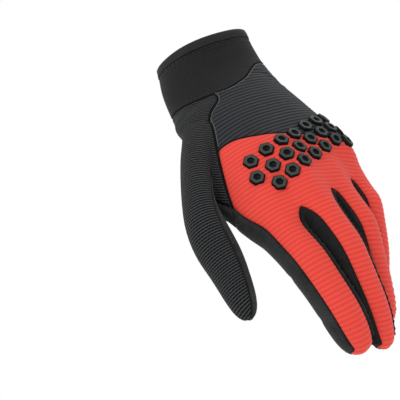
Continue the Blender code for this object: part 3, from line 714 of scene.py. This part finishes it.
# Materials
class Nodes:
    """Short hand for building a material's nodes."""

    def __init__(self, name, rough):
        self.mat = bpy.data.materials.new(name)
        self.mat.use_nodes = True
        self.tree = self.mat.node_tree
        self.bsdf = self.tree.nodes["Principled BSDF"]
        self.bsdf.inputs["Roughness"].default_value = rough

    def link(self, value, socket):
        if isinstance(value, (int, float)):
            socket.default_value = value
        elif isinstance(value, tuple):
            socket.default_value = (*value, 1)
        else:
            self.tree.links.new(value, socket)

    def math(self, operation, *values, clamp=False):
        node = self.tree.nodes.new("ShaderNodeMath")
        node.operation = operation
        node.use_clamp = clamp
        for value, socket in zip(values, node.inputs):
            self.link(value, socket)
        return node.outputs[0]

    def add(self, a, b, clamp=False):
        return self.math("ADD", a, b, clamp=clamp)

    def sub(self, a, b, clamp=False):
        return self.math("SUBTRACT", a, b, clamp=clamp)

    def mul(self, a, b, clamp=False):
        return self.math("MULTIPLY", a, b, clamp=clamp)

    def div(self, a, b):
        return self.math("DIVIDE", a, b)

    def wave(self, value, period):
        """0 to 1 to 0 in each period."""
        return self.math("MULTIPLY_ADD", self.math("COSINE", self.mul(value, 2 * pi / period)), 0.5, 0.5)

    def attribute(self, name, output="Fac"):
        node = self.tree.nodes.new("ShaderNodeAttribute")
        node.attribute_name = name
        return node.outputs[output]

    def flat(self):
        node = self.tree.nodes.new("ShaderNodeSeparateXYZ")
        self.link(self.attribute("flat", "Vector"), node.inputs[0])
        return node.outputs[0], node.outputs[1]

    def noise(self, scale, detail=3, rough=0.55, vector=None):
        node = self.tree.nodes.new("ShaderNodeTexNoise")
        vector = vector or self.tree.nodes.new("ShaderNodeTexCoord").outputs["Object"]
        for key, value in (("Vector", vector), ("Scale", scale), ("Detail", detail), ("Roughness", rough)):
            self.link(value, node.inputs[key])
        return node.outputs[0]

    def mix(self, fac, a, b):
        node = self.tree.nodes.new("ShaderNodeMix")
        node.data_type = "RGBA"
        for value, socket in ((fac, 0), (a, 6), (b, 7)):
            self.link(value, node.inputs[socket])
        return node.outputs[2]

    def bump(self, height, distance, strength):
        node = self.tree.nodes.new("ShaderNodeBump")
        for key, value in (("Strength", strength), ("Distance", distance), ("Height", height)):
            self.link(value, node.inputs[key])
        self.link(node.outputs[0], self.bsdf.inputs["Normal"])

    def cloth(self, colour, gloss, sheen):
        for key, value in (("Base Color", colour), ("Specular IOR Level", gloss),
                           ("Sheen Weight", sheen), ("Sheen Roughness", 0.5)):
            self.link(value, self.bsdf.inputs[key])


def ribbed(name, low, high, seam_shade, rough, flatness, sheen):
    """Ribbed knit: ridges across the hand, columns of fine stitches, slight colour variation, and
    painted shade in the rib valleys, the knit's hollows and along the seams.
    """
    n = Nodes(name, rough)
    rib = n.math("POWER", n.wave(n.attribute("rib"), 1.0), flatness)
    u, v = n.flat()
    knit = n.mul(n.wave(u, 0.62), n.wave(v, 0.50))
    height = n.add(n.mul(knit, 0.55), n.mul(n.noise(900, 2), 0.45))
    # painted shade: the darker low colour fills the rib valleys and the knit's hollows, the high colour the
    # ridges
    tone = n.add(rib, n.mul(n.sub(height, 0.4), 0.45), clamp=True)
    colour = n.mix(n.mul(n.noise(34), 0.25), n.mix(tone, low, high), low)
    # painted shade: within 0.55 mm of the panel's border the colour turns to the dark seam colour, the
    # shadow of the seam gap
    seam = n.sub(1.0, n.div(n.attribute("edge"), 0.55), clamp=True)
    n.cloth(n.mix(n.mul(seam, 0.85), colour, seam_shade), 0.12, sheen)
    n.bump(n.add(n.mul(rib, 1.2), height), 0.00018, 0.7)
    return n.mat


def meshed(name):
    """Spacer mesh: rows of paler yarn with staggered dark holes between them."""
    n = Nodes(name, 0.75)
    u, v = n.flat()
    spots = []
    for shift in (0.0, 0.5):
        far = []
        for place, pitch, half in ((u, MESH_COLUMN, 0.34), (v, MESH_ROW, 0.17)):
            cell = n.sub(n.math("FRACT", n.add(n.div(place, pitch), shift)), 0.5)
            cell = n.div(cell, half)
            far.append(n.mul(cell, cell))
        spots.append(n.sub(1.25, n.add(*far), clamp=True))
    inside = n.math("GREATER_THAN", n.attribute("edge"), 1.1)
    hole = n.mul(n.math("MAXIMUM", *spots), inside)
    yarn = n.noise(1100, 2)
    # a row of paler yarn runs midway between two rows of holes
    line = n.math("POWER", n.wave(n.add(v, MESH_ROW / 4), MESH_ROW / 2), 2.0)
    line = n.mul(line, n.mul(n.add(yarn, 0.25), inside))
    colour = n.mix(line, (0.0040, 0.0042, 0.0046), (0.061, 0.063, 0.066))
    n.cloth(n.mix(hole, colour, (0.0008, 0.0008, 0.0008)), 0.08, 0.03)
    n.bump(n.sub(n.add(n.mul(line, 0.6), n.mul(yarn, 0.25)), hole), 0.0004, 0.8)
    return n.mat


def suede(name, dark, light, printed=False):
    """Suede: fine nap with broad brushed patches, and the red grip strips where they are printed."""
    n = Nodes(name, 0.92)
    height = fine = n.noise(1500, 3, 0.7)
    nap = n.mul(n.add(fine, n.add(n.noise(60, 4), n.noise(190))), 0.8)
    colour = n.mix(n.sub(nap, 0.7, clamp=True), dark, light)
    if printed:
        strip = n.wave(n.add(n.attribute("grip_at"), n.mul(n.noise(75, 1), 2.6)), GRIP_PITCH)
        strip = n.mul(n.sub(strip, 0.30), 6.0, clamp=True)
        strip = n.mul(strip, n.mul(n.attribute("grip_in"), 4.0, clamp=True))
        colour = n.mix(strip, colour, (0.46, 0.022, 0.018))
        height = n.add(fine, n.mul(strip, 2.0))
    n.cloth(colour, 0.07, 0.06)
    n.bump(height, 0.00030, 0.7)
    return n.mat


def neoprene(name):
    """Stretch neoprene with a jersey face: fine upright columns of knit and soft mottling, with
    painted shade along its borders.
    """
    n = Nodes(name, 0.8)
    u, v = n.flat()
    column = n.tree.nodes.new("ShaderNodeCombineXYZ")
    n.link(n.mul(u, 1.3), column.inputs[0])
    n.link(n.mul(v, 0.16), column.inputs[1])
    streak = n.noise(1.0, 3, 0.6, column.outputs[0])
    knit = n.mul(n.wave(u, 0.55), n.wave(v, 0.75))
    grain = n.noise(900, 2)
    tone = n.add(n.mul(streak, 0.8), n.mul(n.add(grain, n.noise(45)), 0.35))
    colour = n.mix(n.sub(tone, 0.3, clamp=True), (0.0045, 0.0045, 0.0047), (0.0150, 0.0150, 0.0154))
    # painted shade: near black within 0.8 mm of the panel's borders, at its seams and under the tape
    border_shade = n.sub(1.0, n.div(n.attribute("edge"), 0.8), clamp=True)
    n.cloth(n.mix(border_shade, colour, (0.004, 0.004, 0.004)), 0.13, 0.03)
    n.bump(n.add(knit, n.mul(grain, 0.6)), 0.00012, 0.6)
    return n.mat


def grained(name, dark, light, rough, scale, depth):
    """Tape or thread: one colour with a fine grain."""
    n = Nodes(name, rough)
    fine = n.noise(scale, 3, 0.6)
    n.cloth(n.mix(fine, dark, light), 0.15, 0.02)
    n.bump(fine, depth, 0.6)
    return n.mat


def pad_rubber():
    """Black rubber: flat tops a paler grey, partly painted highlight; recess and walls painted near black
    as shade.
    """
    n = Nodes("pad_rubber", 0.5)
    fine = n.noise(1200, 2)
    # painted light: the tops' grey is partly the rubber's and partly painted highlight; the rest is painted
    # shade
    lit_top_colour = n.mix(fine, (0.026, 0.032, 0.031), (0.050, 0.058, 0.056))
    n.cloth(n.mix(n.attribute("crown"), (0.0015, 0.0015, 0.0015), lit_top_colour), 0.10, 0.0)
    n.bump(fine, 0.0001, 0.5)
    return n.mat


def cloths():
    """Material and slot name of every kind of panel."""
    # ribbed colours: painted shade of the rib valleys, the ridges, then the painted shade along the seams
    slate = ribbed("slate_rib", (0.008, 0.009, 0.011), (0.035, 0.037, 0.041), (0.01, 0.01, 0.01),
                   0.75, 1.2, 0.03)
    red = ribbed("red_rib", (0.56, 0.036, 0.026), (0.66, 0.062, 0.043), (0.03, 0.01, 0.01),
                 0.62, 0.6, 0.06)
    nap = (0.0060, 0.0064, 0.0064), (0.034, 0.0355, 0.0355)
    stretch = suede("black_stretch", (0.004, 0.004, 0.0045), (0.016, 0.017, 0.017))
    return {"cuff": (neoprene("neoprene"), "neoprene"), "back_upper": (slate, "slate_rib"),
            "back_lower": (red, "red_rib"), "side_mesh": (meshed("black_mesh"), "black_mesh"),
            "palm": (suede("suede", *nap, printed=True), "suede"),
            "thumb_palm": (suede("thumb_suede", *nap), "suede"),
            "fourchette": (stretch, "black_stretch")}


def finish_piece(name, mesh, mat, *nodes, slot=None):
    obj = put(name, mesh)
    mesh.materials.clear()
    mesh.materials.append(mat)
    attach(obj, "root")
    if nodes:
        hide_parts(*nodes)


def seam_chains(sheet, index, others):
    """Ordered chains of the border that a panel shares with others: vertices and the directions
    into the panel."""
    follow = {}
    for uses in edge_uses(sheet.polygons).values():
        mine = [u for u in uses if u[2].material_index == index]
        if len(mine) == 1 and any(u[2].material_index in others for u in uses):
            a, b, p = mine[0]
            follow[a] = (b, into_face(sheet, a, b, p))
    chains = []
    ends = {b for b, way in follow.values()}
    starts = [a for a in follow if a not in ends]
    while follow:
        a = starts.pop() if starts else min(follow)
        chain = []
        while a in follow:
            b, way = follow.pop(a)
            chain.append((a, way))
            a = b
        if len(chain) > 4:
            chains.append(chain)
    return chains


def paced(points, pitch, left):
    """Spots every pitch along a line, the first one after left, each with the way of travel."""
    spots = []
    for a, b in zip(points, points[1:]):
        length = (b - a).length
        if length < 1e-7:
            continue
        way = (b - a) / length
        while left < length:
            spots.append((a + way * left, way))
            left += pitch
        left -= length
    return spots


def seam_rows(sheet, name, others, inset, pitch, length, width):
    """Rows of stitches beside a panel's seams, for stitch_rows."""
    names = list(PANELS)
    rows = []
    for chain in seam_chains(sheet, names.index(name), [names.index(o) for o in others]):
        line = []
        for n, (v, way) in enumerate(chain):
            near = chain[max(0, n - 2):n + 3]
            mean = sum((w for q, w in near), Vector()).normalized()
            line.append(sheet.vertices[v].co + mean * inset)
        rows.append((paced(line, pitch, pitch / 2), length, width))
    return rows


def capsule(bm, centre, way, out, length, width):
    """One stitch: a short rounded thread lying along way, half sunk in the cloth."""
    side = way.cross(out).normalized()
    rings = []
    for along, size in ((-0.5, 0.25), (-0.36, 0.85), (0.0, 1.0), (0.36, 0.85), (0.5, 0.25)):
        sink = (1 - size) * width * 0.35
        ring = []
        for k in range(6):
            a = k * pi / 3
            ring.append(bm.verts.new(centre + way * along * length + side * cos(a) * width / 2 * size
                                     + out * (sin(a) * width / 2 * size - sink)))
        rings.append(ring)
    for a, b in zip(rings, rings[1:]):
        for k in range(6):
            bm.faces.new((a[k], a[(k + 1) % 6], b[(k + 1) % 6], b[k]))
    bm.faces.new(list(reversed(rings[0])))
    bm.faces.new(rings[-1])


def stitch_rows(rows, surface):
    """Mesh of stitches for rows of (spots, length, width)."""
    bm = bmesh.new()
    for spots, length, width in rows:
        for spot, way in spots:
            hit, normal = surface.find_nearest(spot)[:2]
            way = (way - normal * way.dot(normal)).normalized()
            capsule(bm, hit, way, normal, length, width)
    bmesh.ops.recalc_face_normals(bm, faces=bm.faces)
    return mesh_from(bm, "stitches")


def binding_mesh(sheet):
    """Folded tape over the cuff's edge, rounded, with a groove where it is sewn; and that edge."""
    edge_use, links = {}, {}
    for p in sheet.polygons:
        for key in p.edge_keys:
            edge_use[key] = edge_use.get(key, 0) + 1
    for (a, b), n in edge_use.items():
        if n == 1:
            links.setdefault(a, []).append(b)
            links.setdefault(b, []).append(a)
    loop = [max(links, key=lambda v: sheet.vertices[v].co.x)]
    while len(loop) < len(links):
        loop.append([v for v in links[loop[-1]] if v not in loop][0])
    # drawn tighter round the cuff than the solid, as a flat hem
    room, wall, t, deep = SEAM_GAP * 0.3, CUFF_THICK, BINDING_THICK * 0.55, BINDING_HEIGHT * 0.85
    high = SEAM_GAP + BINDING_THICK
    # section of the tape, from its outer lower edge over the top to the inner lower edge and back
    section = [(room, -deep + 0.0003), (room + t * 0.45, -deep), (room + t * 0.85, -deep + 0.0004),
               (room + t * 0.72, -deep + 0.0011), (room + t, -deep + 0.0018), (room + t, -0.0006),
               (room + t * 0.75, high * 0.7), (room * 0.5, high), (-wall / 2, high),
               (-wall - room * 0.5, high), (-wall - room - t * 0.75, high * 0.7),
               (-wall - room - t, -0.0006), (-wall - room - t, -deep), (-wall - room, -deep),
               (-wall - room, room), (room, room)]
    bm = bmesh.new()
    up = Vector((0, 0, 1))
    rings = []
    for v in loop:
        co, normal = sheet.vertices[v].co, sheet.vertices[v].normal
        out = Vector((normal.x, normal.y, 0)).normalized()
        down = (up - normal * normal.z).normalized()
        rings.append([bm.verts.new(co + out * x + (down if z < 0 else up) * z) for x, z in section])
    for a, b in zip(rings, rings[1:] + rings[:1]):
        for k in range(len(section)):
            m = (k + 1) % len(section)
            bm.faces.new((a[k], a[m], b[m], b[k]))
    bmesh.ops.recalc_face_normals(bm, faces=bm.faces)
    return mesh_from(bm, "cuff_tape"), [sheet.vertices[v].co.copy() for v in loop]


def pad_mesh(surface, hit, normal, step):
    """Six-sided moulded pad: rounded corners, chamfered flat top, deep round-cornered recess."""
    side = step.cross(normal)
    corner = PAD_WIDTH / 2 / cos(pi / 6)
    lift = SEAM_GAP * 0.6
    bm = bmesh.new()
    crown = bm.verts.layers.float.new("crown")
    rings = []
    for share, height in PAD_PROFILE[:-1]:
        ring = []
        for k in range(PAD_SIDES):
            a = 2 * pi * k / PAD_SIDES
            fold = (a + pi / 6) % (pi / 3) - pi / 6
            r = corner * share * min(cos(pi / 6) / cos(pi / 6 - abs(fold)), 0.975)
            base = hit + side * r * cos(a) + step * r * sin(a)
            if height < 0.2 and share > 0.9:
                near = surface.ray_cast(base + normal * 0.01, -normal)[0]
                if near:
                    base = near
            vert = bm.verts.new(base + normal * (height * PAD_HEIGHT + lift))
            # the flat top takes the paler, partly painted-highlight colour; walls and recess take painted
            # shade
            vert[crown] = 1.0 if 0.48 < share < 0.84 else 0.0
            ring.append(vert)
        rings.append(ring)
    floor = bm.verts.new(hit + normal * (lift + PAD_HEIGHT * PAD_PROFILE[-1][1]))
    low = bm.verts.new(hit - normal * 0.0003)
    for k in range(PAD_SIDES):
        m = (k + 1) % PAD_SIDES
        for a, b in zip(rings, rings[1:]):
            bm.faces.new((a[k], a[m], b[m], b[k]))
        bm.faces.new((rings[-1][k], rings[-1][m], floor))
        bm.faces.new((rings[0][m], rings[0][k], low))
    bmesh.ops.recalc_face_normals(bm, faces=bm.faces)
    return mesh_from(bm, "pad")


def build():
    points, faces, panels, ribs = hand_cage()
    sheet = smooth_cage(points, faces, panels, LEVELS)
    lengths = smooth_cage([Vector((r, 0, 0)) for r in ribs], faces, panels, LEVELS)
    ribs = [v.co.x for v in lengths.vertices]
    bpy.data.meshes.remove(lengths)
    ways = inward_ways(sheet)
    fingers = [Finger(row) for row in FINGERS]
    surface = tree_of(sheet)
    looks = cloths()
    for name in PANELS:
        mat, slot = looks["fourchette" if name.startswith("fourchette") else name]
        finish_piece(name + "_cloth", panel_piece(sheet, ways, ribs, fingers, name), mat, name, slot=slot)
    tape, rim = binding_mesh(sheet)
    tape_look = grained("binding_tape", (0.0075, 0.0075, 0.0075), (0.017, 0.017, 0.0175), 0.7, 1300, 0.0001)
    finish_piece("cuff_tape", tape, tape_look, "cuff_binding", slot="binding_tape")
    # the pads of the source sit on the coarser form, so they are placed on it here too
    coarse = smooth_cage(points, faces, panels, 1)
    rubber = pad_rubber()
    for n, spot in enumerate(pad_spots(tree_of(coarse)), 1):
        mesh = pad_mesh(surface, *spot)
        finish_piece("knuckle_cap_%02d" % n, mesh, rubber, "knuckle_pad_%02d" % n, slot="pad_rubber")
    bpy.data.meshes.remove(coarse)
    # stitching
    rows = [row for seam in SEAMS for row in seam_rows(sheet, *seam)]
    pitch, length, width = HEM_STITCH
    for drop in HEM_ROWS:
        line = [p + Vector((0, 0, drop)) for p in rim + rim[:1]]
        rows.append((paced(line, pitch, 0.0), length, width))
    thread = grained("thread", (0.018, 0.018, 0.018), (0.040, 0.040, 0.041), 0.6, 900, 0.00005)
    finish_piece("seam_stitches", stitch_rows(rows, surface), thread)
    pale = grained("pale_thread", (0.13, 0.135, 0.14), (0.26, 0.265, 0.27), 0.6, 900, 0.00005)
    finish_piece("panel_edge_stitches", stitch_rows(seam_rows(sheet, *PALE_SEAM), surface), pale)


def studio():
    """Pale floor, soft light, the photograph's camera."""
    back = (EYE - AIM).normalized()
    right = Vector((0, 0, 1)).cross(back).normalized()
    up = back.cross(right)
    turn = radians(CAMERA_ROLL)
    across = right * cos(turn) + up * sin(turn)
    upward = up * cos(turn) - right * sin(turn)
    camera = bpy.data.cameras.new("camera")
    camera.sensor_fit = "HORIZONTAL"
    camera.sensor_width = SENSOR
    camera.lens = CAMERA_LENS
    camera.clip_start = 0.01
    eye = put("camera", camera)
    eye.matrix_world = Matrix.Translation(EYE) @ Matrix((across, upward, back)).transposed().to_4x4()
    bpy.context.scene.camera = eye

    bm = bmesh.new()
    bmesh.ops.create_grid(bm, x_segments=1, y_segments=1, size=FLOOR_SIZE)
    floor = put("floor", mesh_from(bm, "floor"))
    floor.location = (0, 0, FLOOR_AT)
    pale = Nodes("pale_floor", 0.9)
    pale.link((1, 1, 1), pale.bsdf.inputs["Base Color"])
    floor.data.materials.append(pale.mat)

    world = bpy.data.worlds.new("studio")
    bpy.context.scene.world = world
    world.use_nodes = True
    world.node_tree.nodes["Background"].inputs["Color"].default_value = (1, 1, 1, 1)
    world.node_tree.nodes["Background"].inputs["Strength"].default_value = 1.0
    for name, spot, size, power in LAMPS:
        light = bpy.data.lights.new(name, "AREA")
        light.size = size
        light.energy = power
        lamp = put(name, light)
        lamp.location = AIM + across * spot[0] + upward * spot[1] + back * spot[2]
        lamp.rotation_euler = (AIM - lamp.location).to_track_quat("-Z", "Y").to_euler()


build()
studio()
bpy.context.scene.view_settings.view_transform = "Standard"
